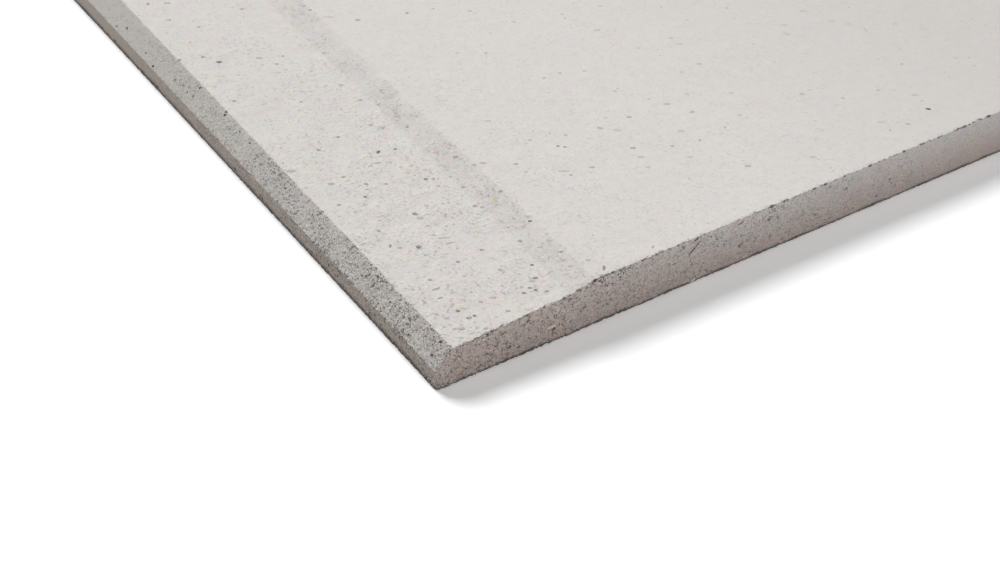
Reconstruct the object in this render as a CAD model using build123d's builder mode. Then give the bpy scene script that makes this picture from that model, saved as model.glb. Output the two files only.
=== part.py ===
from build123d import *
import os

# Gypsum fibreboard sheet for dry lining, lying on its back face.
# One board of gypsum and paper fibre, pressed without a paper liner, the same all through.
# Each long edge is made for a filled joint: a shallow recess is pressed into the face side,
# and the edge itself is milled to a chamfer that stands on a narrow square land.
# The two short ends are sawn square.
#
# Frame: origin in the middle of the back face, +X along the sheet, +Y across it,
# +Z out of the face side. Sizes are in millimetres.

# Sheet
board_length = 2000.0
board_width = 1250.0
board_thickness = 12.5

# Long edge, from the land inwards
land_height = 5.0
chamfer_width = 4.2
recess_depth_at_chamfer = 2.8
recess_depth_at_ramp = 1.35
recess_width = 39.6
ramp_width = 6.2

# Worn arrises, and the soft bends that the press leaves at the ramp
back_arris_radius = 0.6
land_arris_radius = 0.8
chamfer_arris_radius = 0.6
ramp_bend_radius = 8.0
sawn_arris_radius = 0.3

# Section of one long edge, corner by corner from the back face round to the face side
edge_y = board_width / 2
ramp_top_y = edge_y - recess_width
edge_corners = [
    (edge_y, 0),
    (edge_y, land_height),
    (edge_y - chamfer_width, board_thickness - recess_depth_at_chamfer),
    (ramp_top_y + ramp_width, board_thickness - recess_depth_at_ramp),
    (ramp_top_y, board_thickness),
]
edge_radii = [
    back_arris_radius,
    land_arris_radius,
    chamfer_arris_radius,
    ramp_bend_radius,
    ramp_bend_radius,
]

# The other long edge is the same, mirrored, and is met from the face side round to the back
mirrored_corners = [(-y, z) for y, z in reversed(edge_corners)]
mirrored_radii = edge_radii[::-1]

# The board: its section runs the length of the sheet, and the saw breaks the arris of both ends
with BuildPart() as gypsum_fibreboard:
    with BuildSketch(Plane.YZ) as section:
        with BuildLine() as outline:
            FilletPolyline(
                edge_corners + mirrored_corners,
                radius=edge_radii + mirrored_radii,
                close=True,
            )
        make_face()
    extrude(amount=board_length / 2, both=True)
    sawn_ends = gypsum_fibreboard.faces().filter_by(Axis.X)
    fillet(sawn_ends.edges(), radius=sawn_arris_radius)

gypsum_fibreboard.part.label = "gypsum_fibreboard"

os.makedirs("parts", exist_ok=True)
export_step(gypsum_fibreboard.part, "parts/gypsum_fibreboard.step")
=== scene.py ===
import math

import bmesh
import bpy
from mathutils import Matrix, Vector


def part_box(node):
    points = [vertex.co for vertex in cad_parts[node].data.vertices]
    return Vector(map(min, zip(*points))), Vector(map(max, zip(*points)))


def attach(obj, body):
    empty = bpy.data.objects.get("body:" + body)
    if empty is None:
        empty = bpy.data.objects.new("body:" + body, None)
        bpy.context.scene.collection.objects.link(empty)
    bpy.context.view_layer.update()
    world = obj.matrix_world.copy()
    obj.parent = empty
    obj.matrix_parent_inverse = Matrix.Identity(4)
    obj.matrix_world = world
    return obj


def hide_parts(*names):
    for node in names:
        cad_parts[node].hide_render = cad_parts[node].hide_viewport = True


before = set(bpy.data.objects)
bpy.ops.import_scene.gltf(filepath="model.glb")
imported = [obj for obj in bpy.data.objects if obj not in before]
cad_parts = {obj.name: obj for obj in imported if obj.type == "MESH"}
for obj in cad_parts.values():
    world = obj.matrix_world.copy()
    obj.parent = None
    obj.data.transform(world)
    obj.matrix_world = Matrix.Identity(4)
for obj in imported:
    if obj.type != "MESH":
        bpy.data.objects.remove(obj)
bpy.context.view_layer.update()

# %% [markdown]
# A gypsum fibreboard sheet, seen close up at one corner
#
# The sheet is a pressed mix of gypsum and shredded paper, 2 m long, 1.25 m wide and 12.5 mm
# thick. It has no paper liner, so what the eye reads is the mix itself: an off-white pressed
# face with flecks of coloured paper, a recess pressed along the long edge, a rough milled
# chamfer, and a sawn end where the saw has torn fibres out of the corner.
# The frame that was loaded holds the plain solid. This lesson builds the same sheet again as
# a mesh that is fine enough, near the corner that shows, to carry that wear.

MM = 0.001
NODE = "gypsum_fibreboard"

low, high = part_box(NODE)
end_x = high.x
edge_y = low.y
back_z = low.z
face_z = high.z
print("sheet", [round((b - a) / MM, 2) for a, b in zip(low, high)], "mm")

# %% [markdown]
# The long edge, in the terms of the people who make it
#
# The land is the narrow square foot of the edge. Over it a chamfer leans back to the recess,
# whose floor rises gently to a short ramp, and the ramp ends at the full thickness.
# Each value is a real size. They repeat the solid's, because the mesh has to lie on it.

# %% Section of the long edge
LAND_HEIGHT = 5.0 * MM
CHAMFER_WIDTH = 4.2 * MM
RECESS_DEPTH_AT_CHAMFER = 2.8 * MM
RECESS_DEPTH_AT_RAMP = 1.35 * MM
RECESS_WIDTH = 39.6 * MM
RAMP_WIDTH = 6.2 * MM

chamfer_y = edge_y + CHAMFER_WIDTH
foot_y = edge_y + RECESS_WIDTH - RAMP_WIDTH
ramp_y = edge_y + RECESS_WIDTH
print("chamfer to", round(chamfer_y / MM, 2))
print("ramp from", round(foot_y / MM, 2), "to", round(ramp_y / MM, 2))

# %% [markdown]
# Camera
#
# The photo looks down on the corner from 40 degrees, with the long edge running away to the
# upper left and the sawn end to the right. The place and the turn of the camera come from the
# straight edges of the sheet in the photo. It is made first, because everything fine that
# follows is only needed where this camera looks.

# %% A camera at the photo's viewing angle
CAMERA_PLACE = Vector((1.297685, -0.810587, 0.322940))
CAMERA_AZIMUTH = math.radians(55.993)
CAMERA_ELEVATION = math.radians(40.202)
CAMERA_ROLL = math.radians(1.208)
CAMERA_LENS = 83.489


def camera_turn(azimuth, elevation, roll):
    """The turn of a camera that looks back at the object from an azimuth and an elevation."""
    back = Vector((
        math.sin(azimuth) * math.cos(elevation),
        -math.cos(azimuth) * math.cos(elevation),
        math.sin(elevation),
    ))
    level = Vector((math.cos(azimuth), math.sin(azimuth), 0))
    upright = back.cross(level)
    right = level * math.cos(roll) + upright * math.sin(roll)
    up = upright * math.cos(roll) - level * math.sin(roll)
    return Matrix((right, up, back)).transposed().to_euler()


bpy.ops.object.camera_add(
    location=CAMERA_PLACE, rotation=camera_turn(CAMERA_AZIMUTH, CAMERA_ELEVATION, CAMERA_ROLL)
)
camera = bpy.context.object
camera.name = "camera"
camera.data.lens = CAMERA_LENS
camera.data.clip_start = 0.01
bpy.context.scene.camera = camera
print("camera", [round(v, 3) for v in camera.location])

# %% [markdown]
# Helpers for working as by hand
#
# An operator acts on what is selected, so each step first says what that is. One helper makes
# an object the only selected one. Another selects vertices, edges or faces in edit mode by a
# test, which is what a click or a box does in the window. Two more say where such a part lies
# and which way it runs, for those tests.

# %% Selecting in code
MOSTLY = 0.6


def only(piece):
    """Makes one object the only selected one, and the active one."""
    bpy.ops.object.select_all(action="DESELECT")
    piece.select_set(True)
    bpy.context.view_layer.objects.active = piece


def middle(part):
    """The middle of a vertex, an edge or a face."""
    if isinstance(part, bmesh.types.BMVert):
        return part.co
    if isinstance(part, bmesh.types.BMEdge):
        return (part.verts[0].co + part.verts[1].co) / 2
    return part.calc_center_median()


def pick(piece, kind, test):
    """In edit mode, selects every vertex, edge or face that passes the test; returns how many."""
    bpy.ops.mesh.select_mode(type=kind)
    bpy.ops.mesh.select_all(action="DESELECT")
    shape = bmesh.from_edit_mesh(piece.data)
    parts = {"VERT": shape.verts, "EDGE": shape.edges, "FACE": shape.faces}[kind]
    chosen = [part for part in parts if test(part)]
    for part in chosen:
        part.select_set(True)
    bmesh.update_edit_mesh(piece.data)
    return len(chosen)


def runs_along(edge, axis):
    """True if an edge runs mostly along one axis: 0 for X, 1 for Y, 2 for Z."""
    step = edge.verts[1].co - edge.verts[0].co
    return abs(step[axis]) > MOSTLY * step.length


# %% [markdown]
# The blank
#
# On the real line the board is an endless mat, pressed flat and sawn to size. Here it starts
# the same way, as a block of the full size. Planes then score it where its section turns, and
# where the closely seen corner begins and ends. Scoring keeps every face a clean four-sided
# strip, which a later cut across the strips needs.

# %% A block of the sheet's size, scored across
SEEN_LENGTH = 164 * MM
SEEN_WIDTH = 165 * MM
SLIVER = 0.01 * MM

seen_x = end_x - SEEN_LENGTH
seen_y = edge_y + SEEN_WIDTH

bpy.ops.object.select_all(action="DESELECT")
bpy.ops.mesh.primitive_cube_add(size=1, location=(low + high) / 2, scale=high - low)
board = bpy.context.object
board.name = "board"
only(board)
bpy.ops.object.transform_apply(location=True, rotation=True, scale=True)

bpy.ops.object.mode_set(mode="EDIT")
for y in (chamfer_y, foot_y, ramp_y, seen_y, -ramp_y, -foot_y, -chamfer_y):
    bpy.ops.mesh.select_all(action="SELECT")
    bpy.ops.mesh.bisect(plane_co=(0, y, 0), plane_no=(0, 1, 0), threshold=SLIVER)
bpy.ops.mesh.select_all(action="SELECT")
bpy.ops.mesh.bisect(plane_co=(seen_x, 0, 0), plane_no=(1, 0, 0), threshold=SLIVER)
bpy.ops.object.mode_set(mode="OBJECT")
print("scored block", len(board.data.polygons), "faces")

# %% [markdown]
# Pressing the recess and milling the chamfer
#
# The score lines on the face side are now let down, one by one, to the depth that the section
# has there: the outermost to the top of the land, the next two to the floor of the recess.
# Both long edges are done alike, as on the real sheet.

# %% Lines let down to the section
bpy.ops.object.mode_set(mode="EDIT")
for y, depth in (
    (edge_y, face_z - LAND_HEIGHT),
    (chamfer_y, RECESS_DEPTH_AT_CHAMFER),
    (foot_y, RECESS_DEPTH_AT_RAMP),
):
    pick(board, "VERT", lambda v: abs(abs(v.co.y) - abs(y)) < SLIVER and v.co.z > face_z - SLIVER)
    bpy.ops.transform.translate(value=(0, 0, -depth))
bpy.ops.object.mode_set(mode="OBJECT")

# %% [markdown]
# Cells for the corner that shows
#
# One pixel of the photo is a fifth to a third of a millimetre on the board. A mesh that fine
# all over two square metres is out of the question, so only the corner gets cells, 1.4 mm
# wide, by cutting the edges that run across each strip. The cells nearest the sawn end and
# the chamfer are then halved up to three times, in patches inside each other. A patch's
# neighbours stay whole faces with a few more corners, so the mesh stays closed.

# %% Cells 1.4 mm wide on the corner
CELL = 1.4 * MM
MOST_CELLS = 100
END_ROWS = 12


def in_corner(place):
    """True on the corner that the camera sees close up."""
    return place.x > seen_x - SLIVER and place.y < seen_y + SLIVER


def crosses(edge):
    """True if an edge leads across the sheet, flat or sloping."""
    return abs(edge.verts[0].co.y - edge.verts[1].co.y) > SLIVER


def cut(test, length):
    """Cuts the picked edges into cells; long ones in two goes, because one go takes 100 at most."""
    cells = round(length / CELL)
    goes = (cells // 2, 2) if cells > MOST_CELLS else (cells,)
    for go in goes:
        pick(board, "EDGE", test)
        bpy.ops.mesh.subdivide(number_cuts=go - 1)


bpy.ops.object.mode_set(mode="EDIT")
cut(lambda e: runs_along(e, 0) and middle(e).x > seen_x, SEEN_LENGTH)
for y_from, y_to in ((edge_y, chamfer_y), (chamfer_y, foot_y), (foot_y, ramp_y), (ramp_y, seen_y)):
    cut(lambda e: (
        crosses(e)
        and y_from + SLIVER < middle(e).y < y_to - SLIVER
        and in_corner(middle(e))
        and (middle(e).z > SLIVER or middle(e).x > end_x - SLIVER)
    ), y_to - y_from)
upright = pick(board, "EDGE", lambda e: not crosses(e) and runs_along(e, 2) and in_corner(middle(e)))
bpy.ops.mesh.subdivide(number_cuts=END_ROWS - 1)
bpy.ops.object.mode_set(mode="OBJECT")
print("upright edges", upright, "corner in cells", len(board.data.polygons), "faces")

# %% Finer cells towards the sawn end and the milled edge
ARRIS_BAND = 0.6 * MM


def top_of_section(y):
    """Height of the face side at a distance across the sheet."""
    marks = (
        (edge_y, LAND_HEIGHT),
        (chamfer_y, face_z - RECESS_DEPTH_AT_CHAMFER),
        (foot_y, face_z - RECESS_DEPTH_AT_RAMP),
        (ramp_y, face_z),
    )
    y = min(y, -y)
    for (y_a, z_a), (y_b, z_b) in zip(marks, marks[1:]):
        if y < y_b:
            return z_a + (z_b - z_a) * (y - y_a) / (y_b - y_a)
    return face_z


def to_top_arris(p):
    """Distance to the line where the sawn end meets the face side."""
    return math.hypot(end_x - p.x, top_of_section(p.y) - p.z)


def to_foot_arris(p):
    """Distance to the line along the foot of the land and of the sawn end."""
    return min(math.hypot(p.z, end_x - p.x), math.hypot(p.z, p.y - edge_y))


def to_edge_arris(p):
    """Distance to the lines along both sides of the chamfer."""
    return min(
        math.hypot(p.y - chamfer_y, p.z - top_of_section(chamfer_y)),
        math.hypot(p.y - edge_y, p.z - LAND_HEIGHT),
    )


def refine(test):
    """Halves every cell of the corner whose middle passes the test."""
    bpy.ops.object.mode_set(mode="EDIT")
    count = pick(board, "FACE", lambda f: len(f.verts) == 4 and f.calc_area() < 4 * CELL * CELL and (
        in_corner(middle(f)) and middle(f).z > SLIVER and test(middle(f))
    ))
    bpy.ops.mesh.subdivide(number_cuts=1)
    bpy.ops.object.mode_set(mode="OBJECT")
    return count


print("halved once", refine(lambda p: p.x > end_x - 3 * CELL or p.y < chamfer_y + 2 * CELL))
print("halved twice", refine(lambda p: (
    p.x > end_x - CELL
    or edge_y + SLIVER < p.y < chamfer_y + CELL
    or min(to_edge_arris(p), to_foot_arris(p)) < 2 * ARRIS_BAND
)))
print("halved three times", refine(
    lambda p: min(to_top_arris(p), to_foot_arris(p), to_edge_arris(p)) < ARRIS_BAND
))
print("triangles", sum(len(f.vertices) - 2 for f in board.data.polygons))
print("ngons", sum(len(f.vertices) > 4 for f in board.data.polygons))

# %% [markdown]
# Which vertices wear which relief
#
# A displace modifier moves every vertex along its normal by a texture, and a vertex group
# says how much of it each vertex takes. The sheet has four finishes, each left by another
# tool: the pressed face, the pressed recess, the milled edge and the sawn end. Each gets a
# group, and each arris gets one that fades out within a millimetre and a half. Towards the rim
# of the corner patch all of them fade to nothing, where the big flat faces begin.
# The last lines note on the mesh how close each vertex is to the sawn arris, because the
# material darkens it there, with dark tufts and with painted shade under the torn arris.

# %% Vertex groups for the finishes and the arrises
FADE = 6 * MM
ARRIS_REACH = 0.9 * MM
SPARED_AFAR = 0.6


def ramp_up(value, start, stop):
    """0 before start, 1 after stop, and a smooth rise between them."""
    share = min(1, max(0, (value - start) / (stop - start)))
    return share * share * (3 - 2 * share)


def to_near_corner(p):
    """Distance to the upright corner line between the land and the sawn end."""
    return math.hypot(end_x - p.x, p.y - edge_y)


def corner_share(p):
    """1 at the near corner, which is handled the most, fading to 0 at the rim of the seen part."""
    handled = 1 - SPARED_AFAR * ramp_up(to_near_corner(p), 0, SEEN_LENGTH)
    return handled * ramp_up(p.x, seen_x, seen_x + FADE) * (1 - ramp_up(p.y, seen_y - FADE, seen_y))


def on_end(p):
    """1 on the sawn end, 0 elsewhere."""
    return 1 if p.x > end_x - SLIVER else 0


def on_milled(p):
    """1 on the land and the chamfer."""
    return 1 if p.y < chamfer_y + SLIVER and p.x < end_x - SLIVER else 0


def on_recess(p):
    """1 on the pressed recess, from the chamfer to the top of the ramp."""
    if p.x > end_x - SLIVER or p.y < chamfer_y - SLIVER or p.z < LAND_HEIGHT:
        return 0
    return 1 - ramp_up(p.y, foot_y, ramp_y)


def on_face(p):
    """1 on the flat face side."""
    return 0 if p.x > end_x - SLIVER or p.z < face_z - SLIVER else 1


def beside(distance_to, reach=ARRIS_REACH):
    """Makes a share that is 1 on a line and fades to 0 at its reach, from a distance function."""
    return lambda p: 1 - ramp_up(distance_to(p), 0, reach)


REGIONS = {
    "sawn_end": on_end,
    "milled_edge": on_milled,
    "recess": on_recess,
    "face": on_face,
    "top_arris": beside(to_top_arris),
    "foot_arris": beside(to_foot_arris),
    "edge_arris": beside(to_edge_arris),
    "near_corner": beside(to_near_corner, 1.6 * ARRIS_REACH),
}
for name, share_of in REGIONS.items():
    group = board.vertex_groups.new(name=name)
    marked = 0
    for vertex in board.data.vertices:
        if not in_corner(vertex.co):
            continue
        share = share_of(vertex.co) * corner_share(vertex.co)
        if share > 0:
            group.add([vertex.index], share, "REPLACE")
            marked += 1
    print(name, marked, "vertices")

torn = board.data.attributes.new("torn", "FLOAT", "POINT")
for vertex in board.data.vertices:
    if in_corner(vertex.co) and vertex.co.y > chamfer_y + SLIVER:
        torn.data[vertex.index].value = REGIONS["top_arris"](vertex.co)

# %% [markdown]
# Lines that stay crisp
#
# The mill leaves a clean line on both sides of the chamfer, where the shade jumps within a
# pixel or two. Those lines are marked sharp now, while they are still straight and easy to
# pick, so the smooth shading that comes after the wear doesn't round them off.

# %% Sharp lines along the chamfer
bpy.ops.object.mode_set(mode="EDIT")
lines = pick(board, "EDGE", lambda e: to_edge_arris(middle(e)) < SLIVER and runs_along(e, 0))
bpy.ops.mesh.mark_sharp()
bpy.ops.object.mode_set(mode="OBJECT")
print("sharp edges", lines)

# %% [markdown]
# Wear in the mesh
#
# Everything here only takes material away, so the sheet stays inside its true size. That is
# also why each modifier moves its vertices along one axis, towards the inside. The textures
# are clouds. Their grain is that of the crumbs that the tool tears out, half a millimetre to
# one and a half, or of the slow waves that it leaves, some millimetres.
# A colour ramp on the cloud sets where a bite starts and where it is at its deepest, so a
# narrow ramp makes separate bites with sound arris between them, as on a brittle board.
# A ramp that ends at 0.01 lets nearly the whole group in alike. That leaves room, inside the
# sheet's true size, for the specks that stand out of it later.

# %% Relief by displace modifiers, applied one after the other
INWARD = {"X": -1, "Y": 1, "Z": -1}


def wear(name, group, grain, depth, starts, ends, along):
    """Moves a group inward by a cloud: not at all where it is below starts, in full above ends."""
    texture = bpy.data.textures.new(name, "CLOUDS")
    texture.noise_scale = grain
    texture.noise_depth = 2
    texture.use_color_ramp = True
    shades = texture.color_ramp.elements
    shades[0].position = starts
    shades[0].color = (0, 0, 0, 1)
    shades[1].position = ends
    shades[1].color = (1, 1, 1, 1)
    only(board)
    for axis in along:
        bpy.ops.object.modifier_add(type="DISPLACE")
        modifier = board.modifiers[-1]
        modifier.texture = texture
        modifier.texture_coords = "LOCAL"
        modifier.direction = axis
        modifier.vertex_group = group
        modifier.mid_level = 0
        modifier.strength = depth * INWARD[axis]
    for modifier in list(board.modifiers):
        bpy.ops.object.modifier_apply(modifier=modifier.name)
    bpy.data.textures.remove(texture)
    print(name, "in by", round(depth / MM, 2), "mm along", along)


# Name, group, grain and depth in millimetres, where a bite starts and ends, and the axes
WEAR = (
    ("arris bites", "top_arris", 1.5, 0.30, 0.55, 0.75, "XZ"),
    ("arris teeth", "top_arris", 0.45, 0.30, 0.4, 0.65, "XZ"),
    ("foot teeth", "foot_arris", 0.6, 0.2, 0.45, 0.7, "XY"),
    ("edge teeth", "edge_arris", 0.5, 0.12, 0.4, 0.7, "YZ"),
    ("corner crumbs", "near_corner", 0.9, 0.6, 0.3, 0.7, "XY"),
    ("saw set back", "sawn_end", 9, 0.04, 0.0, 0.01, "X"),
    ("saw waves", "sawn_end", 7, 0.15, 0.2, 0.8, "X"),
    ("saw tears", "sawn_end", 0.7, 0.20, 0.45, 0.7, "X"),
    ("mill set back", "milled_edge", 9, 0.04, 0.0, 0.01, "Y"),
    ("mill tears", "milled_edge", 0.7, 0.22, 0.45, 0.7, "Y"),
    ("recess waves", "recess", 5, 0.15, 0.2, 0.8, "Z"),
    ("recess flakes", "recess", 2.4, 0.10, 0.4, 0.7, "Z"),
    ("face rubbed", "face", 9, 0.03, 0.0, 0.01, "Z"),
    ("face waves", "face", 9, 0.04, 0.2, 0.8, "Z"),
)
for name, group, grain, depth, starts, ends, along in WEAR:
    wear(name, group, grain * MM, depth * MM, starts, ends, along)

only(board)
bpy.ops.object.shade_smooth_by_angle(angle=math.radians(50), keep_sharp_edges=True)

# %% [markdown]
# Colours and nodes
#
# Colours are written as sRGB hex, as they would be read off a screen, and turned to the linear
# values that shaders work in. One small function adds a node with its settings, and with
# values or links for its sockets, so a material reads as a list of what it is made of.

# %% Helpers for the materials


def linear(colour):
    """An sRGB hex colour as the linear values that a shader takes."""
    parts = [int(colour[k:k + 2], 16) / 255 for k in (1, 3, 5)]
    return tuple(p / 12.92 if p <= 0.04045 else ((p + 0.055) / 1.055) ** 2.4 for p in parts) + (1,)


def add(tree, kind, sockets=None, **settings):
    """Adds one shader node; each socket named gets a value, or a link if an output is given."""
    node = tree.nodes.new("ShaderNode" + kind)
    for name, value in settings.items():
        setattr(node, name, value)
    for name, value in (sockets or {}).items():
        if isinstance(value, bpy.types.NodeSocket):
            tree.links.new(value, node.inputs[name])
        else:
            node.inputs[name].default_value = value
    return node


def per(size):
    """The scale of a texture whose pattern repeats about once in this length."""
    return 1 / size


def blank_tree(owner):
    """Gives a material or a world a node tree with nothing in it."""
    owner.use_nodes = True
    owner.node_tree.nodes.clear()
    return owner.node_tree


# %% [markdown]
# Grains, pits and shreds scattered through the mix
#
# All that dots the board is a small body inside the mix: a pit, a crumb, a shred of paper.
# One layer scatters bodies of one kind through space. A cell texture gives every cell a
# middle and three random numbers. One turns its body, one says whether it is there and how
# strong it is, and one is left to pick a colour. The body lies level, as the press leaves it,
# so a cut through the board shows a flat one as a level streak. All lie within 50 degrees of
# one direction, the one that runs level across the camera's view. On the face the dark ones
# stand partly for fibre and partly for painted shadow lines of the relief.

# %% One layer of scattered bodies
LEVEL_IN_VIEW = math.radians(56)
ASTRAY = math.radians(50)
FAINTEST = 0.15


def scatter(tree, place, cell, size, share, soft=0.6):
    """Bodies of a length, width and thickness; returns their mask and each one's random number."""
    cells = add(tree, "TexVoronoi", {"Vector": place, "Scale": per(cell)})
    chance = add(tree, "SeparateColor", {"Color": cells.outputs["Color"]})
    away = add(
        tree, "VectorMath", {0: place, 1: cells.outputs["Position"]}, operation="SUBTRACT",
    )
    turn = add(
        tree, "Math", {0: chance.outputs["Red"], 1: 2 * ASTRAY, 2: -LEVEL_IN_VIEW - ASTRAY},
        operation="MULTIPLY_ADD",
    )
    turned = add(
        tree, "VectorRotate",
        {"Vector": away.outputs[0], "Angle": turn.outputs[0]}, rotation_type="Z_AXIS",
    )
    in_body = add(
        tree, "VectorMath",
        {0: turned.outputs[0], 1: tuple(2 / s for s in size)}, operation="MULTIPLY",
    )
    reach = add(tree, "VectorMath", {0: in_body.outputs[0]}, operation="LENGTH")
    body = add(
        tree, "MapRange",
        {"Value": reach.outputs["Value"], "From Min": 1.0, "From Max": 1 - soft},
    )
    there = add(
        tree, "MapRange",
        {"Value": chance.outputs["Green"], "From Min": 1 - share, "From Max": 1.0,
         "To Min": FAINTEST, "To Max": 1.0},
        clamp=False,
    )
    strong = add(
        tree, "Math", {0: there.outputs[0], 1: FAINTEST}, operation="GREATER_THAN",
    )
    strength = add(
        tree, "Math", {0: there.outputs[0], 1: strong.outputs[0]}, operation="MULTIPLY",
    )
    mask = add(
        tree, "Math", {0: body.outputs[0], 1: strength.outputs[0]}, operation="MULTIPLY",
    )
    return mask.outputs[0], chance.outputs["Blue"]


# %% [markdown]
# Gypsum fibre, the stuff of the whole board
#
# The mix is white gypsum crystals felted with grey-white paper fibre, and with scraps of
# printed paper that kept their colour. All of it is solid through and through, so every
# pattern is made in three dimensions, on Object coordinates. What differs from finish to
# finish is how bright, how rough and how torn it is. Each of the next cells makes one part of
# the material, and the last of them puts the parts together.

# %% The corner is the most handled, with crisp grain and pits that grow duller further off
CRISP_WITHIN = 30 * MM
DULL_FROM = 170 * MM
HANDLED_WITHIN = 10 * MM
CLEAN_FROM = 80 * MM


def handling(tree, place, dull):
    """Two shares by the distance from the corner: how crisp the pattern is, and how handled."""
    off_corner = add(
        tree, "VectorMath", {0: place, 1: (end_x, edge_y, 0)}, operation="DISTANCE",
    ).outputs["Value"]
    crisp = add(
        tree, "MapRange",
        {"Value": off_corner, "From Min": CRISP_WITHIN, "From Max": DULL_FROM,
         "To Min": 1.0, "To Max": dull},
    ).outputs["Result"]
    handled = add(
        tree, "MapRange",
        {"Value": off_corner, "From Min": HANDLED_WITHIN, "From Max": CLEAN_FROM,
         "To Min": 1.0, "To Max": 0.0},
    ).outputs["Result"]
    return crisp, handled


# %% Places bent a little, so that no body keeps a round or straight outline


def bend(tree, place):
    """Places that a swirl of fine noise moves to and fro."""
    swirl = add(
        tree, "TexNoise", {"Vector": place, "Scale": per(0.7 * MM), "Detail": 1.0},
    )
    centred = add(
        tree, "VectorMath",
        {0: swirl.outputs["Color"], 1: (0.5, 0.5, 0.5)}, operation="SUBTRACT",
    )
    return add(
        tree, "VectorMath",
        {0: centred.outputs[0], 1: (0.8 * MM,) * 3, 2: place}, operation="MULTIPLY_ADD",
    ).outputs[0]


# %% The pressed side: a recess, a ramp with scuffs and painted shade, and a face with painted shade further in from the edge
SHADE_FROM = 90 * MM


def pressed_side(tree, across, patchy):
    """Three shares: of relief, less on the flat face; of scuffs and painted shade on the ramp; and of
    brightness, with painted shade further in from the edge.
    """
    off_middle = add(tree, "Math", {0: across}, operation="ABSOLUTE").outputs[0]
    in_recess = add(
        tree, "MapRange",
        {"Value": off_middle, "From Min": -ramp_y - 1.0 * MM, "From Max": -ramp_y + 1.5 * MM,
         "To Min": 0.5, "To Max": 1.0},
        interpolation_type="SMOOTHSTEP",
    ).outputs["Result"]
    from_ramp = add(
        tree, "Math", {0: off_middle, 1: (ramp_y + foot_y) / 2}, operation="ADD",
    )
    off_ramp = add(tree, "Math", {0: from_ramp.outputs[0]}, operation="ABSOLUTE")
    on_ramp = add(
        tree, "MapRange",
        {"Value": off_ramp.outputs[0], "From Min": RAMP_WIDTH / 2 + 0.5 * MM,
         "From Max": RAMP_WIDTH / 2 - 0.5 * MM},
        interpolation_type="SMOOTHSTEP",
    ).outputs["Result"]
    scuffs_and_shade = add(tree, "Math", {0: on_ramp, 1: patchy}, operation="MULTIPLY").outputs[0]
    # Painted shade: the face is darker further in from the edge
    bright = add(
        tree, "MapRange",
        {"Value": off_middle, "From Min": -edge_y - SEEN_WIDTH, "From Max": -edge_y - SHADE_FROM,
         "To Min": 0.92, "To Max": 1.01},
    ).outputs["Result"]
    return in_recess, scuffs_and_shade, bright


# %% Tones and relief of the mix, one noise for each size of grain and one for the streaks
NOISE_GAIN = 6


def tones(tree, place, grains, streaks):
    """How much lighter or darker the mix is, its height, and its finest grain."""
    uneven = -NOISE_GAIN / 2 * sum(amount for _, amount, _ in grains)
    height = 0.0
    for size, amount, rise in grains:
        grain = add(
            tree, "TexNoise",
            {"Vector": place, "Scale": per(size), "Detail": 2.0, "Roughness": 0.6},
        ).outputs["Fac"]
        # The same noise lightens the mix where it raises it, so its grain is partly random tone and
        # partly painted light on the rises and painted shade in the hollows
        uneven = add(
            tree, "Math", {0: grain, 1: NOISE_GAIN * amount, 2: uneven},
            operation="MULTIPLY_ADD",
        ).outputs[0]
        height = add(
            tree, "Math", {0: grain, 1: rise, 2: height}, operation="MULTIPLY_ADD",
        ).outputs[0]
    width, longer, amount = streaks
    shrunk = add(
        tree, "VectorMath", {0: place, 1: tuple(1 / k for k in longer)},
        operation="MULTIPLY",
    )
    drawn = add(
        tree, "TexNoise",
        {"Vector": shrunk.outputs[0], "Scale": per(width), "Detail": 2.0, "Roughness": 0.6},
    )
    off_mean = add(tree, "Math", {0: drawn.outputs["Fac"], 1: 0.5}, operation="SUBTRACT")
    uneven = add(
        tree, "Math", {0: off_mean.outputs[0], 1: NOISE_GAIN * amount, 2: uneven},
        operation="MULTIPLY_ADD",
    ).outputs[0]
    return uneven, height, grain


# %% Painted shade along the foot of a cut finish: a dark line, which comes and goes
FOOT_STARTS = 1.5 * MM


def painted_foot_shade(tree, up, patches, grain, foot):
    """How dark the painted shade along the foot of a cut finish is, by height and by two noises that
    make it wavy.
    """
    wavy = add(
        tree, "Math", {0: patches, 1: 1.6 * MM, 2: up}, operation="MULTIPLY_ADD",
    ).outputs[0]
    wavy = add(
        tree, "Math", {0: grain, 1: 0.8 * MM, 2: wavy}, operation="MULTIPLY_ADD",
    ).outputs[0]
    return add(
        tree, "MapRange",
        {"Value": wavy, "From Min": back_z + FOOT_STARTS, "From Max": back_z + FOOT_STARTS + foot,
         "To Min": 0.3, "To Max": 1.0},
    ).outputs["Result"]


# %% A breath of colour, where pulp of one colour or another is gathered


def breathe(tree, place, colour, much):
    """Lets a colour stray from its own grey, in patches of some millimetres."""
    pulp = add(tree, "TexNoise", {"Vector": place, "Scale": per(2.6 * MM), "Detail": 1.0})
    off_grey = add(
        tree, "VectorMath",
        {0: pulp.outputs["Color"], 1: (0.5, 0.5, 0.5)}, operation="SUBTRACT",
    )
    tinge = add(
        tree, "VectorMath", {0: off_grey.outputs[0], "Scale": much}, operation="SCALE",
    )
    breath = add(
        tree, "VectorMath", {0: tinge.outputs[0], 1: (1.0, 1.0, 1.0)}, operation="ADD",
    )
    return add(
        tree, "VectorMath", {0: colour, 1: breath.outputs[0]}, operation="MULTIPLY",
    ).outputs[0]


# %% Pits, crumbs and shreds, each with its own colour and depth


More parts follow.
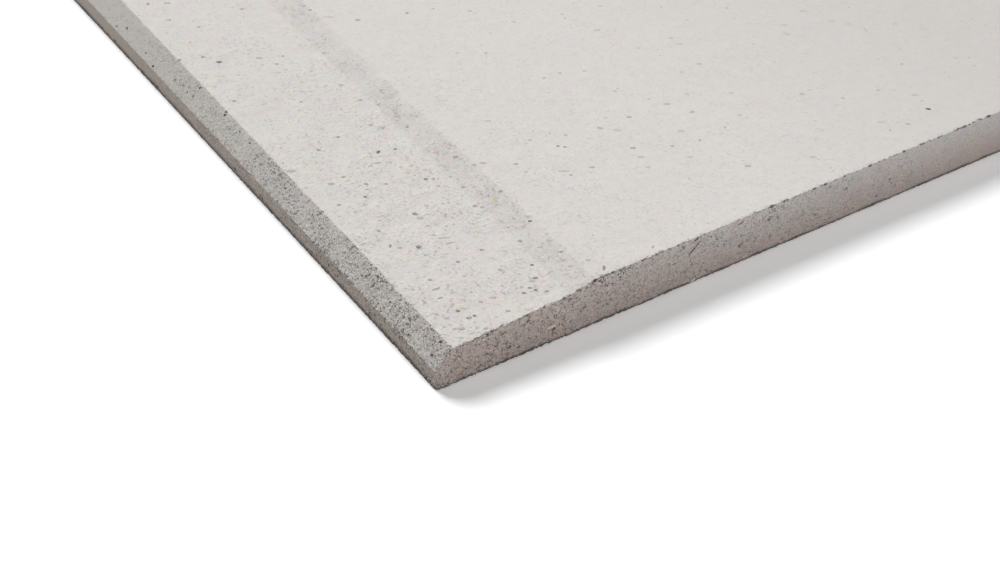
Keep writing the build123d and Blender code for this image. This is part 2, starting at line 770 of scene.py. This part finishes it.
def let_in(tree, mask, colour, height, shade, amount, depth):
    """Lays a masked colour on the mix and lets it in; with a depth below zero it stands out."""
    opacity = add(tree, "Math", {0: mask, 1: amount}, operation="MULTIPLY").outputs[0]
    colour = add(
        tree, "Mix", {0: opacity, 6: colour, 7: linear(shade)}, data_type="RGBA",
    ).outputs[2]
    height = add(
        tree, "Math", {0: mask, 1: -depth, 2: height}, operation="MULTIPLY_ADD",
    ).outputs[0]
    return colour, height


# %% Scraps of printed paper
SCRAP_COLOURS = (
    (0.00, "#9A8F85"),
    (0.25, "#6B6661"),
    (0.45, "#B7A77C"),
    (0.60, "#6F7F8C"),
    (0.72, "#C07A5E"),
    (0.82, "#96705A"),
    (0.92, "#7FA08F"),
    (0.96, "#C4625A"),
)


def strew(tree, bent, scraps, colour):
    """Strews scraps over a colour; each has one of the scrap colours, by its random number."""
    cell, size, chance, amount = scraps
    mask, pick_one = scatter(tree, bent, cell, size, chance, soft=0.3)
    palette = add(tree, "ValToRGB", {"Fac": pick_one})
    palette.color_ramp.interpolation = "CONSTANT"
    stops = palette.color_ramp.elements
    while len(stops) < len(SCRAP_COLOURS):
        stops.new(1.0)
    for stop, (start, shade) in zip(stops, SCRAP_COLOURS):
        stop.position = start
        stop.color = linear(shade)
    opacity = add(tree, "Math", {0: mask, 1: amount}, operation="MULTIPLY").outputs[0]
    return add(
        tree, "Mix", {0: opacity, 6: colour, 7: palette.outputs["Color"]}, data_type="RGBA",
    ).outputs[2]


# %% Dark tufts and painted shade along the torn arris


def tufts_and_painted_shade(tree, bent, colour):
    """Darkens a colour in ragged clumps where the mesh says that the arris is close: dark tufts, and
    painted shade under the arris.
    """
    torn = add(tree, "Attribute", attribute_name="torn").outputs["Fac"]
    clumps = add(
        tree, "TexNoise", {"Vector": bent, "Scale": per(1.3 * MM), "Detail": 2.0},
    )
    ragged = add(
        tree, "Math", {0: clumps.outputs["Fac"], 1: 4.0, 2: torn}, operation="MULTIPLY_ADD",
    ).outputs[0]
    tufts_and_shade = add(
        tree, "MapRange",
        {"Value": ragged, "From Min": 2.9, "From Max": 3.4, "To Min": 0.0, "To Max": 0.85},
    ).outputs["Result"]
    # Dark brown, for the tufts and for the painted shade under the torn arris
    return add(
        tree, "Mix", {0: tufts_and_shade, 6: colour, 7: linear("#4F453E")}, data_type="RGBA",
    ).outputs[2]


# %% A material for one finish of the gypsum fibre
MATT = {"Roughness": 0.95, "Specular IOR Level": 0.3}
SCUFF_RELIEF = 0.12
# How much painted shade darkens the ramp, in the patches of its scuffs
RAMP_PAINTED_SHADE = 0.055


def gypsum_fibre(
    name, base, worn, under, gives_way, grains, pits, streaks, bodies, scraps,
    pressed=False, foot=0.6 * MM, dull=0.3, tint=0.014,
):
    """Makes the material of one finish.

    base, worn, under: the colour far from the handled corner, at it, and at the underside.
    gives_way: the heights between which the colour at the underside gives way to the others.
    grains: (size, how much lighter and darker it makes the base, height), coarse to fine.
    pits: (size, colour, how much of that colour, depth), for each kind.
    streaks: (width, how much longer along X, Y and Z, how much lighter and darker).
    bodies: (cell, size, share of cells, colour, how much of that colour, depth), for each kind.
    scraps: (cell, size, share of cells, how much of their colour).
    pressed: made by the press, so it has a ramp with scuffs and painted shade, and no painted shade
    along a foot.
    foot: how far up the painted shade along the foot of a cut finish fades out.
    dull: how much of grain and pits is left far from the corner.
    tint: how far the colour strays from grey, half as much on the flat face.
    """
    material = bpy.data.materials.new(name)
    tree = blank_tree(material)
    place = add(tree, "TexCoord").outputs["Object"]
    axes = add(tree, "SeparateXYZ", {"Vector": place}).outputs
    crisp, handled = handling(tree, place, dull)
    bent = bend(tree, place)

    # How strongly the relief shows: in patches, less on the flat face, more on the ramp
    patches = add(
        tree, "TexNoise", {"Vector": place, "Scale": per(7 * MM), "Detail": 2.0},
    ).outputs["Fac"]
    patchy = add(
        tree, "MapRange",
        {"Value": patches, "From Min": 0.35, "From Max": 0.65, "To Min": 0.55, "To Max": 1.45},
    ).outputs["Result"]
    in_recess, scuffs_and_shade, bright = (
        pressed_side(tree, axes["Y"], patchy) if pressed else (1.0, 0.0, 1.0)
    )
    share = add(tree, "Math", {0: crisp, 1: patchy}, operation="MULTIPLY").outputs[0]
    share = add(tree, "Math", {0: share, 1: in_recess}, operation="MULTIPLY").outputs[0]
    share = add(
        tree, "Math", {0: scuffs_and_shade, 1: SCUFF_RELIEF, 2: share}, operation="MULTIPLY_ADD",
    ).outputs[0]

    # How bright the mix is: by its grain, and darker by painted shade on the ramp, further in from
    # the edge and along the foot
    uneven, height, grain = tones(tree, place, grains, streaks)
    height = add(tree, "Math", {0: height, 1: share}, operation="MULTIPLY").outputs[0]
    level = add(
        tree, "Math", {0: uneven, 1: crisp, 2: 1.0}, operation="MULTIPLY_ADD",
    ).outputs[0]
    # Painted shade on the ramp, darker in the patches of its scuffs
    rubbed = add(
        tree, "Math", {0: scuffs_and_shade, 1: -RAMP_PAINTED_SHADE, 2: 1.0}, operation="MULTIPLY_ADD",
    ).outputs[0]
    # Painted shade along the foot of a cut finish, where it meets the floor
    rim = 1.0 if pressed else painted_foot_shade(tree, axes["Z"], patches, grain, foot)
    for factor in (rubbed, bright, rim):
        level = add(tree, "Math", {0: level, 1: factor}, operation="MULTIPLY").outputs[0]

    # The colour of the ground, and towards the underside another colour: painted shade at the foot of
    # the sawn end, and on the land a warm tint painted for light bounced onto it
    ground = add(
        tree, "Mix", {0: handled, 6: linear(base), 7: linear(worn)}, data_type="RGBA",
    ).outputs[2]
    raised = add(
        tree, "MapRange",
        {"Value": axes["Z"], "From Min": gives_way[0], "From Max": gives_way[1]},
    ).outputs["Result"]
    ground = add(
        tree, "Mix", {0: raised, 6: linear(under), 7: ground}, data_type="RGBA",
    ).outputs[2]
    toned = add(
        tree, "VectorMath", {0: ground, "Scale": level}, operation="SCALE",
    ).outputs[0]
    much = add(
        tree, "Math", {0: in_recess, 1: NOISE_GAIN * tint}, operation="MULTIPLY",
    ).outputs[0]
    colour = breathe(tree, place, toned, much)

    # What lies in it: pits, which are the lowest spots of a noise, partly dark specks of the mix and
    # partly painted shade; then bodies, scraps, and dark tufts with painted shade under the arris
    for size, shade, amount, depth in pits:
        noise = add(
            tree, "TexNoise", {"Vector": place, "Scale": per(size), "Detail": 1.0},
        )
        mask = add(
            tree, "MapRange",
            {"Value": noise.outputs["Fac"], "From Min": 0.42, "From Max": 0.30},
        ).outputs["Result"]
        mask = add(tree, "Math", {0: mask, 1: share}, operation="MULTIPLY").outputs[0]
        colour, height = let_in(tree, mask, colour, height, shade, amount, depth)
    for cell, size, chance, shade, amount, depth in bodies:
        mask, _ = scatter(tree, bent, cell, size, chance)
        mask = add(tree, "Math", {0: mask, 1: share}, operation="MULTIPLY").outputs[0]
        colour, height = let_in(tree, mask, colour, height, shade, amount, depth)
    colour = tufts_and_painted_shade(tree, bent, strew(tree, bent, scraps, colour))

    bump = add(tree, "Bump", {"Strength": 1.0, "Distance": 1.0, "Height": height})
    shader = add(
        tree, "BsdfPrincipled",
        {**MATT, "IOR": 1.45, "Base Color": colour, "Normal": bump.outputs["Normal"]},
    )
    add(tree, "OutputMaterial", {"Surface": shader.outputs["BSDF"]})
    print(name, len(tree.nodes), "nodes")
    return material


# %% The three finishes
pressed_face = gypsum_fibre(
    "pressed_gypsum_fibre_face", base="#DAD6D2", worn="#DBD6D2", under="#D4CFCA",
    gives_way=(back_z, face_z),
    grains=(
        (12 * MM, 0.010, 0.0),
        (2.4 * MM, 0.016, 0.20 * MM),
        (0.9 * MM, 0.014, 0.20 * MM),
        (0.45 * MM, 0.030, 0.10 * MM),
    ),
    pits=((0.8 * MM, "#8C837C", 0.33, 0.03 * MM),),
    streaks=(0.8 * MM, (1, 3, 1), 0.014),
    bodies=(
        # Dark dashes, a little sunk: partly fibre, partly painted shadow lines of the relief
        (1.5 * MM, (1.9 * MM, 0.38 * MM, 0.8 * MM), 0.5, "#7F766E", 0.52, 0.03 * MM),
        (1.0 * MM, (1.1 * MM, 0.30 * MM, 0.5 * MM), 0.5, "#F4F2F0", 0.9, -0.03 * MM),
    ),
    scraps=(5.0 * MM, (1.0 * MM, 0.7 * MM, 0.6 * MM), 0.3, 0.45),
    pressed=True, tint=0.024,
)
milled_edge = gypsum_fibre(
    # Its warmer colour below the top of the land is a tint painted for light bounced onto the land
    "milled_gypsum_fibre_edge", base="#CCC9C4", worn="#CEC9C5", under="#D2C8C1",
    gives_way=(LAND_HEIGHT - 1.0 * MM, LAND_HEIGHT + 0.4 * MM), foot=1.3 * MM, dull=0.05,
    grains=(
        (9 * MM, 0.03, 0.0),
        (1.2 * MM, 0.03, 0.15 * MM),
        (0.5 * MM, 0.11, 0.20 * MM),
        (0.28 * MM, 0.26, 0.12 * MM),
    ),
    pits=(
        (0.45 * MM, "#5E5852", 0.8, 0.12 * MM),
        (1.0 * MM, "#6B645E", 0.4, 0.12 * MM),
    ),
    streaks=(0.45 * MM, (1, 6, 6), 0.05),
    bodies=(
        (0.8 * MM, (0.7 * MM, 0.45 * MM, 0.6 * MM), 0.5, "#F3F0EC", 0.7, -0.10 * MM),
        (1.6 * MM, (2.2 * MM, 0.35 * MM, 0.6 * MM), 0.4, "#6B645E", 0.6, 0.08 * MM),
    ),
    scraps=(3.0 * MM, (0.9 * MM, 0.7 * MM, 0.6 * MM), 0.4, 0.6),
)
sawn_core = gypsum_fibre(
    # Its darker colour at the underside is painted shade, darker towards the foot of the sawn end
    "sawn_gypsum_fibre_core", base="#D6D3D1", worn="#D1C4BE", under="#BFB0AA",
    gives_way=(back_z, face_z), dull=0.2, tint=0.03,
    grains=(
        (7 * MM, 0.07, 0.0),
        (1.5 * MM, 0.055, 0.12 * MM),
        (0.5 * MM, 0.09, 0.16 * MM),
        (0.28 * MM, 0.26, 0.10 * MM),
    ),
    pits=(
        (0.42 * MM, "#544A44", 0.8, 0.10 * MM),
        (1.1 * MM, "#5E534C", 0.35, 0.10 * MM),
    ),
    streaks=(0.4 * MM, (7, 7, 1), 0.055),
    bodies=(
        (0.9 * MM, (0.8 * MM, 0.6 * MM, 0.4 * MM), 0.5, "#E9E4DF", 0.6, -0.05 * MM),
        (2.2 * MM, (3.2 * MM, 1.6 * MM, 0.22 * MM), 0.6, "#6E625B", 0.7, 0.04 * MM),
    ),
    scraps=(2.6 * MM, (0.9 * MM, 0.7 * MM, 0.5 * MM), 0.5, 0.7),
)

# %% Faces take their finish by where they lie
MILLED_PAST = 0.1 * MM

finishes = (pressed_face, milled_edge, sawn_core)
for material in finishes:
    board.data.materials.append(material)
for polygon in board.data.polygons:
    p = polygon.center
    finish = pressed_face
    if abs(p.x) > end_x - ARRIS_REACH and abs(polygon.normal.x) > MOSTLY:
        finish = sawn_core
    elif abs(p.y) > -chamfer_y - MILLED_PAST:
        finish = milled_edge
    polygon.material_index = finishes.index(finish)
for index, finish in enumerate(finishes):
    print(finish.name, sum(f.material_index == index for f in board.data.polygons), "faces")

# %% [markdown]
# Specks and scraps where they lie on this sheet
#
# The mix above puts its small bodies anywhere. The larger ones are what a viewer remembers,
# so they lie where the photo has them: bits of printed paper, char and dirt, pressed into the
# face or cut through by the saw. Each place was read off the photo, as pixels from its
# upper left, with the speck's length in pixels and, for some, its turn in degrees and its
# width. A ray from the camera through that pixel finds the place on the sheet.
# A speck is a thin disc with eight corners. It takes the slope of the face under it, and is
# sunk until only three hundredths of a millimetre stand out. The colour is full in the middle
# and mostly faded at the rim, where the mix has soaked in.

# %% Specks, one thin disc each, joined to one piece
PHOTO_WIDTH = 1000
PHOTO_HEIGHT = 588
PIXEL = MM / 4.5
SPECK_CORNERS = 8
SPECK_RADIUS = 0.5
SPECK_THICK = 0.12 * MM
SPECK_BREADTH = 0.6
THINNEST = 1.8
SPECK_JITTER = 0.02 * MM
SPECK_SEED = 4
RIM_FADE = 0.6
SAWN_WITHIN = 0.7 * MM

FACE_SPECKS = {
    # Char and dirt
    "#3B3632": (
        (219, 62, 6), (378, 152, 5, 75, 4), (419, 247, 6, -15, 4.4), (530, 221, 4), (928, 109, 6),
    ),
    # Dark fibre
    "#86817B": (
        (148, 4, 4), (234, 101, 4), (407, 13, 4), (395, 149, 4), (365, 197, 4, 0, 3.4),
        (390, 246, 5, 85, 3.2),
        (426, 179, 5), (407, 127, 4), (558, 146, 4), (565, 147, 4, -20), (482, 250, 5), (458, 311, 5),
        (475, 316, 5, -30), (458, 262, 5, -25), (440, 298, 6, 30, 2), (436, 289, 8, 25, 2.2),
        (379, 231, 4),
        (524, 293, 5), (560, 252, 4), (469, 318, 6), (535, 278, 6, 20),
    ),
    # Grey fibre
    "#A49E97": (
        (343, 177, 5), (339, 205, 5, 20), (426, 255, 5), (400, 248, 5), (430, 280, 5),
        (520, 241, 5, -30), (633, 148, 6), (386, 184, 5), (371, 125, 5), (653, 247, 5, 60, 2),
        (319, 150, 5), (475, 206, 5), (169, 20, 5), (360, 100, 5), (301, 102, 4), (324, 53, 4),
        (433, 179, 4), (463, 187, 4), (501, 191, 4), (438, 186, 4), (508, 311, 5), (425, 303, 4),
        (450, 177, 4), (277, 64, 4), (571, 175, 4), (383, 128, 4), (547, 291, 4), (544, 78, 4),
        (548, 240, 4), (455, 329, 4),
    ),
    # Pale fibre
    "#B7B0AB": (
        (363, 244, 8, 30, 1.6), (450, 243, 9, 25, 2.2), (600, 128, 7, -20), (629, 117, 6),
        (516, 164, 6), (748, 166, 7), (331, 184, 7), (692, 112, 6, 25), (341, 85, 6),
        (444, 238, 12, 3, 1.8), (262, 65, 4), (283, 56, 4), (304, 6, 5), (425, 170, 4),
        (474, 187, 4), (482, 207, 5), (493, 298, 8),
        (530, 140, 4), (560, 73, 4), (592, 167, 6), (526, 172, 4), (672, 146, 5), (615, 91, 4),
        (727, 8, 4), (802, 94, 6), (984, 36, 5), (600, 6, 4), (902, 64, 4), (740, 115, 4, -25),
        (979, 6, 8, -20), (970, 57, 5, 40), (958, 47, 5, -25), (446, 318, 4), (437, 314, 3),
        (571, 266, 4), (355, 212, 4),
    ),
    # Fibre that barely shows
    "#C6C2BC": (
        (238, 75, 4), (681, 131, 8), (687, 94, 6), (682, 72, 5), (649, 99, 4, 25), (734, 18, 4),
        (895, 24, 6), (803, 11, 8), (671, 38, 6), (639, 48, 5, -20), (784, 25, 8), (878, 59, 4),
        (809, 90, 4), (648, 167, 6), (687, 20, 5), (942, 33, 7), (564, 171, 12), (514, 22, 6),
        (562, 14, 5), (787, 34, 9, -25), (813, 157, 8), (881, 122, 8), (956, 58, 6, -20),
        (832, 21, 7), (585, 71, 6), (470, 11, 6), (496, 317, 4), (457, 53, 5), (753, 44, 4),
        (774, 62, 4), (802, 62, 4),
    ),
    # Ochre, from strong to faint
    "#9B8E74": ((310, 10, 4), (203, 57, 5), (338, 137, 4), (978, 41, 4)),
    "#BFB8AF": (
        (259, 58, 7), (588, 260, 6), (731, 93, 5, -20), (878, 90, 5), (843, 98, 5), (486, 53, 5, 75),
    ),
    "#CEC7C1": ((329, 17, 12), (680, 44, 9), (849, 24, 8), (923, 29, 10, -15)),
    # Brown, from dark to pale
    "#7A7168": ((415, 214, 6, -20), (532, 265, 4)),
    "#A69E97": ((366, 184, 5, -20), (462, 329, 7), (434, 235, 4), (532, 281, 6), (456, 157, 7, -20)),
    "#A3938C": ((500, 270, 5),),
    "#BBB0AD": (
        (420, 218, 8), (242, 9, 5), (948, 28, 7), (474, 165, 6), (566, 135, 4), (167, 3, 8),
        (370, 166, 5, 25, 1.8), (378, 163, 9, 10, 1.8), (388, 162, 7, 0, 1.6),
    ),
    "#C5BDB8": ((641, 157, 8), (915, 95, 8)),
    # Orange, red and pink
    "#C1B3A9": (
        (667, 104, 8), (699, 64, 6), (908, 124, 6), (483, 163, 8), (291, 171, 10), (449, 144, 5),
    ),
    "#CFAFA9": ((436, 152, 7),),
    "#CCC4BE": (
        (597, 30, 9), (617, 130, 9), (690, 157, 7), (488, 121, 8), (426, 205, 5), (455, 152, 5),
    ),
    # Yellow green, blue and white
    "#C9C38A": ((495, 199, 8, 85),),
    "#82837C": ((530, 288, 5), (536, 290, 5)),
    "#A6A49F": ((358, 20, 7), (199, 27, 4), (481, 302, 5)),
    "#E6E4E1": ((585, 67, 7), (377, 112, 5)),
}
print("specks", sum(len(places) for places in FACE_SPECKS.values()))


def seen_at(x, y):
    """The place on the board that the camera sees at a pixel of the photo, and where it faces."""
    step = camera.data.sensor_width / camera.data.lens / PHOTO_WIDTH
    towards = Vector(((x - PHOTO_WIDTH / 2) * step, (PHOTO_HEIGHT / 2 - y) * step, -1))
    towards.rotate(camera.rotation_euler)
    hit, place, facing, _ = board.ray_cast(camera.location, towards)
    return (place, facing) if hit else (None, None)


def outward_at(place, facing):
    """Straight out of the mesh where it was pressed, and of the clean section where it was cut."""
    if place.x > end_x - SAWN_WITHIN:
        return Vector((1, 0, 0))
    if place.y > chamfer_y:
        return facing
    if place.z < LAND_HEIGHT:
        return Vector((0, -1, 0))
    rise = face_z - RECESS_DEPTH_AT_CHAMFER - LAND_HEIGHT
    return Vector((0, -rise, CHAMFER_WIDTH)).normalized()


def speck(x, y, size, turn, proud, colour, around):
    """Lays one thin disc on the board at a pixel of the photo; returns it, or None off the board."""
    place, facing = seen_at(x, y)
    if place is None:
        print("no board at pixel", x, y)
        return None
    outward = outward_at(place, facing)
    level = Vector((1, 0, 0))
    level.rotate(camera.rotation_euler)
    level = (level - outward * level.dot(outward)).normalized()
    along = level * math.cos(turn) + outward.cross(level) * math.sin(turn)
    lie = Matrix((along, outward.cross(along), outward)).transposed().to_euler()
    bpy.ops.mesh.primitive_cylinder_add(
        vertices=SPECK_CORNERS, radius=SPECK_RADIUS, depth=1, end_fill_type="TRIFAN", rotation=lie,
        scale=(*size, SPECK_THICK), location=place - outward * (SPECK_THICK / 2 - proud),
    )
    disc = bpy.context.object
    full = linear(colour)
    faded = tuple(f + (a - f) * RIM_FADE for f, a in zip(full, linear(around)))
    ink = disc.data.attributes.new("ink", "FLOAT_COLOR", "POINT")
    for vertex, value in zip(disc.data.vertices, ink.data):
        on_rim = math.hypot(vertex.co.x, vertex.co.y) > SPECK_RADIUS / 2
        value.color = faded if on_rim else full
    return disc


def press_level(piece):
    """Presses what stands proud of the sheet's own box level with it, so the discs stay closed."""
    only(piece)
    bpy.ops.object.mode_set(mode="EDIT")
    for side, axis, limit, flat in (
        (1, 2, face_z - SLIVER, (1, 1, 0)),
        (-1, 2, back_z + SLIVER, (1, 1, 0)),
        (1, 0, end_x - SLIVER, (0, 1, 1)),
        (-1, 1, edge_y + SLIVER, (1, 0, 1)),
    ):
        if pick(piece, "VERT", lambda v: side * v.co[axis] > side * limit):
            bpy.ops.transform.resize(value=flat, center_override=(limit, limit, limit))
    bpy.ops.object.mode_set(mode="OBJECT")


def lay(name, table, widest, proud, around):
    """Lays every speck of a table as one piece; a speck is at most this many pixels wide."""
    discs = []
    for colour, places in table.items():
        for x, y, length, *more in places:
            turn = math.radians(more[0] if more else 0)
            width = more[1] if len(more) > 1 else min(max(SPECK_BREADTH * length, THINNEST), widest)
            disc = speck(x, y, (length * PIXEL, width * PIXEL), turn, proud, colour, around)
            if disc:
                discs.append(disc)
    only(discs[0])
    for disc in discs:
        disc.select_set(True)
    bpy.ops.object.join()
    piece = bpy.context.object
    piece.name = name
    bpy.ops.object.transform_apply(location=True, rotation=True, scale=True)
    bpy.ops.object.mode_set(mode="EDIT")
    bpy.ops.mesh.select_all(action="SELECT")
    bpy.ops.transform.vertex_random(offset=SPECK_JITTER, seed=SPECK_SEED)
    bpy.ops.object.mode_set(mode="OBJECT")
    press_level(piece)
    print(name, len(discs), "discs", len(piece.data.polygons), "faces")
    return piece


specks = lay("specks_in_the_face", FACE_SPECKS, widest=4.0, proud=0.03 * MM, around="#D6D2CE")

# %% [markdown]
# What the saw laid open
#
# On the sawn end and the chamfer the scraps show from the side. The saw also smeared one dark
# blue scrap into two long scratches, and it pulled a dark thread and a brown tuft loose.
# The cut is rougher than the face, so these discs stand a little prouder, or its crumbs would
# hide them. Dark specks along the foot of the land, just inside the edge, are painted shade where it
# meets the floor.

# %% Specks on the sawn end, on the chamfer and along the arris
CUT_SPECKS = {
    # Char and dirt, the pulled thread, and at 607, 274 painted shade under the upright tuft
    "#443A34": (
        (528, 321, 5), (432, 355, 4), (441, 342, 5), (450, 351, 4), (200, 88, 4), (226, 112, 4),
        (225, 115, 4), (296, 213, 5), (323, 212, 4), (180, 60, 4), (153, 66, 4), (607, 274, 6, -10),
        (583, 309, 8, 33, 1.5), (468, 343, 5), (483, 338, 4), (488, 335, 5), (509, 347, 6),
        (409, 335, 4),
    ),
    # Dark fibre
    "#746B65": (
        (613, 283, 4), (537, 337, 4), (519, 347, 6), (620, 277, 4), (669, 277, 3), (769, 220, 4),
        (778, 217, 4), (890, 179, 4), (127, 28, 4), (117, 26, 3), (146, 53, 3), (175, 80, 4),
        (187, 92, 3), (193, 96, 4), (240, 131, 3), (250, 143, 4), (261, 164, 5), (255, 159, 3),
        (277, 201, 4), (286, 188, 4), (395, 342, 3), (414, 352, 4), (442, 384, 3), (690, 283, 5),
        (682, 286, 3), (861, 210, 7), (595, 282, 4), (587, 288, 3), (581, 291, 4), (621, 271, 3),
        (624, 270, 4), (603, 306, 3),
    ),
    # Olive scraps, the first one frayed along the arris
    "#625F4A": ((565, 299, 4, 20), (570, 300, 5, 20), (576, 298, 4), (846, 189, 5, 30, 1.8)),
    # Painted shade along the foot of the land
    "#2F2924": (
        (99, 25, 6, -45), (103, 28, 4, -45), (108, 34, 4, -45), (115, 41, 5, -45), (138, 67, 4, -45),
        (142, 71, 4, -45), (158, 87, 4, -45), (228, 163, 4, -45), (235, 169, 5, -45),
        (262, 198, 4, -45), (267, 204, 4, -45),
    ),
    # Brown fibre, and the tuft
    "#716257": (
        (740, 245, 5), (611, 299, 4), (503, 334, 8, 10), (552, 330, 7), (466, 369, 6), (600, 302, 5),
        (876, 196, 8),
    ),
    "#9A8A84": ((604, 268, 8, 88, 3),),
    # Dark blue, smeared into two scratches
    "#34343C": ((684, 247, 5, 20), (694, 249, 20, 41, 1.8), (696, 240, 15, 20, 1.4)),
    "#9E9FAB": ((682, 250, 8, 10),),
    # Red, dull red and teal
    "#AD705A": ((741, 223, 8, 20),),
    "#96707A": ((830, 187, 4, 25),),
    "#6F968C": ((429, 339, 4), (782, 239, 4), (792, 235, 3)),
    # Light crumbs
    "#E4DED8": (
        (158, 63, 2), (190, 110, 3), (693, 280, 6, 15), (433, 380, 3), (437, 374, 3), (612, 272, 3),
        (551, 327, 10), (911, 159, 2),
    ),
}
cut_specks = lay("specks_in_the_cut", CUT_SPECKS, widest=3.0, proud=0.05 * MM, around="#C8BFB9")

# %% [markdown]
# Printed paper, felted into the mix
#
# A scrap is soft paper that soaked up gypsum, so its print is patchy: pale felt shows through
# it in spots of a quarter of a millimetre. It is as dull as the mix around it.

# %% The material of the specks
scraps = bpy.data.materials.new("scraps_of_printed_paper")
tree = blank_tree(scraps)
place = add(tree, "TexCoord").outputs["Object"]
ink = add(tree, "Attribute", attribute_name="ink").outputs["Color"]
felt = add(tree, "TexNoise", {"Vector": place, "Scale": per(0.5 * MM), "Detail": 1.0})
inked = add(
    tree, "MapRange",
    {"Value": felt.outputs["Fac"], "From Min": 0.6, "From Max": 0.46, "To Min": 0.3, "To Max": 1.0},
)
colour = add(
    tree, "Mix", {0: inked.outputs[0], 6: linear("#CFCAC5"), 7: ink}, data_type="RGBA",
)
shader = add(
    tree, "BsdfPrincipled",
    {**MATT, "Base Color": colour.outputs[2]},
)
add(tree, "OutputMaterial", {"Surface": shader.outputs[0]})
for piece in (specks, cut_specks):
    piece.data.materials.append(scraps)

# %% [markdown]
# Floor, light and background
#
# The photo is a plain product shot on white: one big soft light behind the board, and a fill
# from the front. Both are sun lamps with a wide angle, so they fall alike on all of the two
# metres. The floor is white to the camera and only pale to the light that bounces, so the
# board's edges keep their shading.

# %% Floor
FLOOR_SIZE = 30.0
FLOOR_GAP = 0.02 * MM
FLOOR_SEEN = (1.36, 1.37, 1.375, 1)
FLOOR_BOUNCE = linear("#C8C4C0")

bpy.ops.object.select_all(action="DESELECT")
bpy.ops.mesh.primitive_plane_add(size=FLOOR_SIZE, location=(0, 0, back_z - FLOOR_GAP))
floor = bpy.context.object
floor.name = "floor"
only(floor)
bpy.ops.object.transform_apply(location=True, rotation=False, scale=True)
paper = bpy.data.materials.new("white_studio_paper")
tree = blank_tree(paper)
rays = add(tree, "LightPath")
mirrored = add(
    tree, "Math",
    {0: rays.outputs["Is Glossy Ray"], 1: rays.outputs["Is Transmission Ray"]}, operation="MAXIMUM",
)
straight = add(
    tree, "Math",
    {0: rays.outputs["Is Camera Ray"], 1: mirrored.outputs[0]}, operation="MAXIMUM",
)
colour = add(
    tree, "Mix", {0: straight.outputs[0], 6: FLOOR_BOUNCE, 7: FLOOR_SEEN}, data_type="RGBA",
)
sheen = add(tree, "BsdfDiffuse", {"Color": colour.outputs[2]})
add(tree, "OutputMaterial", {"Surface": sheen.outputs[0]})
floor.data.materials.append(paper)

# %% Lamps and background
KEY_FROM = Vector((-1.0, 0.03, 0.99)).normalized()
KEY_ON_FACE = 0.65
KEY_SPREAD = math.radians(38)
FILL_FROM = Vector((0.80, 0.0, 0.55)).normalized()
FILL_ON_FACE = 0.22
FILL_SPREAD = math.radians(70)
AMBIENT = 0.13


def sun(name, direction, on_face, spread):
    """A sun lamp whose light comes from a direction and gives a level face this much."""
    bpy.ops.object.select_all(action="DESELECT")
    bpy.ops.object.light_add(type="SUN", rotation=direction.to_track_quat("Z", "Y").to_euler())
    lamp = bpy.context.object
    lamp.name = name
    lamp.data.energy = on_face * math.pi / direction.z
    lamp.data.angle = spread
    return lamp


sun("key", KEY_FROM, KEY_ON_FACE, KEY_SPREAD)
sun("fill", FILL_FROM, FILL_ON_FACE, FILL_SPREAD)

world = bpy.data.worlds.new("studio")
bpy.context.scene.world = world
tree = blank_tree(world)
rays = add(tree, "LightPath")
strength = add(
    tree, "Mix", {0: rays.outputs["Is Camera Ray"], 2: AMBIENT, 3: 1.0}, data_type="FLOAT",
)
sky = add(tree, "Background", {"Strength": strength.outputs[0]})
add(tree, "OutputWorld", {"Surface": sky.outputs[0]})
bpy.context.scene.view_settings.view_transform = "Standard"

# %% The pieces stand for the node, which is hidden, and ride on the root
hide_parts(NODE)
for piece in (board, specks, cut_specks):
    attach(piece, "root")
